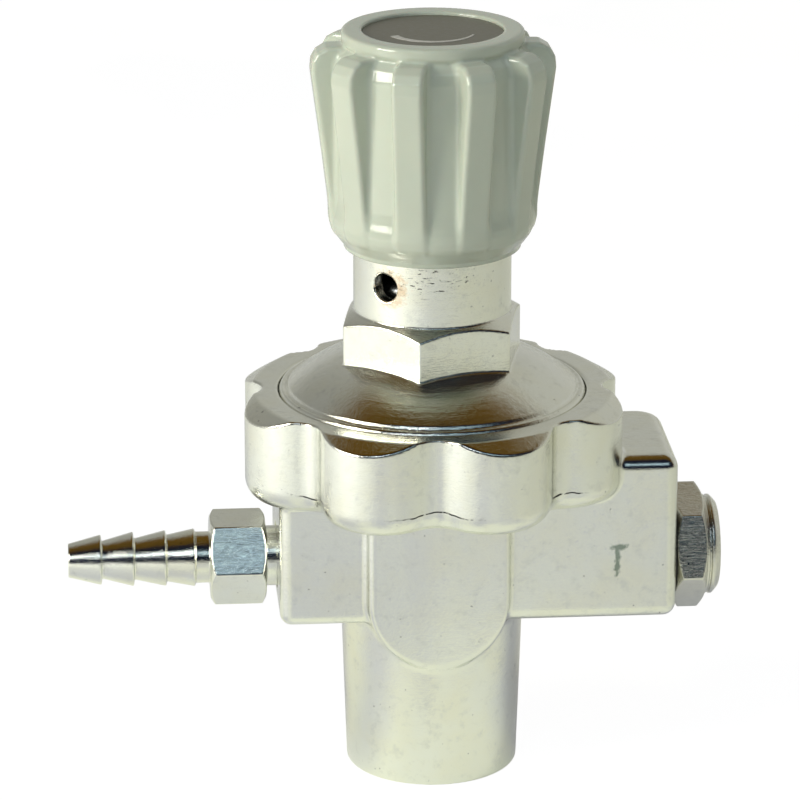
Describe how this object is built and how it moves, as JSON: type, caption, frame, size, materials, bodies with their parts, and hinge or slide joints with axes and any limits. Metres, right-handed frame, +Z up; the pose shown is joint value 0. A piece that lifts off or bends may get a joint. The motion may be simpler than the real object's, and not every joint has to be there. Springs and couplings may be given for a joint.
{
  "type": "carbon dioxide regulator",
  "caption": "Small pressure regulator: plated body with lobed flange, threaded inlet below, barbed hose tail, hexagon relief valve and ribbed adjusting knob.",
  "frame": {"origin": "on the axis of the threaded inlet, in the plane of the skirt's bottom edge", "axes": "+Z up along the inlet and knob axis, -X towards the hose tail, +X towards the relief valve, -Y towards the front pad"},
  "size_m": [0.0949, 0.055, 0.1105],
  "materials": {
    "plated_casting": "nickel-chrome plated zinc die casting, satin",
    "plated_brass": "nickel plated, turned",
    "brass_turned": "turned brass",
    "sintered_bronze": "sintered bronze",
    "black_rubber": "nitrile rubber",
    "seal_plastic": "nylon",
    "black_fibre": "fibre washer",
    "zinc_steel": "zinc plated steel",
    "spring_steel": "spring steel",
    "grey_plastic": "moulded, glossy",
    "label_film": "printed film disc"
  },
  "bodies": {
    "body": {"body_casting": "plated_casting", "bonnet": "plated_brass", "diaphragm": "black_rubber", "diaphragm_slip_ring": "seal_plastic", "valve_seat_nozzle": "brass_turned", "nozzle_o_ring": "black_rubber", "inlet_seal": "seal_plastic", "inlet_pin": "brass_turned", "inlet_filter": "sintered_bronze", "hose_tail": "plated_brass", "hose_tail_seal": "seal_plastic", "relief_valve_body": "plated_brass", "relief_valve_washer": "black_fibre", "relief_adjuster": "brass_turned", "relief_spring": "spring_steel", "poppet_spring": "spring_steel", "range_spring": "spring_steel"},
    "spring_follower": {"spring_button": "zinc_steel", "thrust_ball": "spring_steel"},
    "knob_and_screw": {"knob": "grey_plastic", "knob_label": "label_film", "adjusting_screw": "zinc_steel", "knob_nut": "zinc_steel", "knob_washer": "zinc_steel"},
    "diaphragm_stack": {"diaphragm_plate": "zinc_steel", "diaphragm_button": "brass_turned"},
    "poppet": {"valve_poppet": "brass_turned", "poppet_seat_disc": "seal_plastic"},
    "relief_poppet": {"relief_poppet": "brass_turned", "relief_seat_disc": "seal_plastic"}
  },
  "joints": [
    {"name": "screw_travel", "type": "slide", "parent": "body", "child": "spring_follower", "axis": [0, 0, 1], "range_m": [-0.005, 0], "deforming": ["range_spring"]},
    {"name": "knob_turn", "type": "hinge", "parent": "spring_follower", "child": "knob_and_screw", "pos_m": [0, 0, 0.09], "axis": [0, 0, 1], "range_deg": [-1440, 0]},
    {"name": "diaphragm_stroke", "type": "slide", "parent": "body", "child": "diaphragm_stack", "axis": [0, 0, 1], "range_m": [-0.0006, 0], "stiffness_N_per_m": 5000, "springref_m": 0.0002, "deforming": ["diaphragm"]},
    {"name": "poppet_lift", "type": "slide", "parent": "body", "child": "poppet", "axis": [0, 0, 1], "range_m": [-0.0006, 0], "stiffness_N_per_m": 1000, "springref_m": 0.0005, "deforming": ["poppet_spring"]},
    {"name": "relief_lift", "type": "slide", "parent": "body", "child": "relief_poppet", "axis": [1, 0, 0], "range_m": [0, 0.001], "stiffness_N_per_m": 3000, "springref_m": -0.001, "deforming": ["relief_spring"]}
  ],
  "couplings": [
    {"joint": "knob_turn", "follows": "screw_travel", "rad_per_m": 5026.5},
    {"joint": "poppet_lift", "follows": "diaphragm_stroke", "ratio": 1}
  ]
}
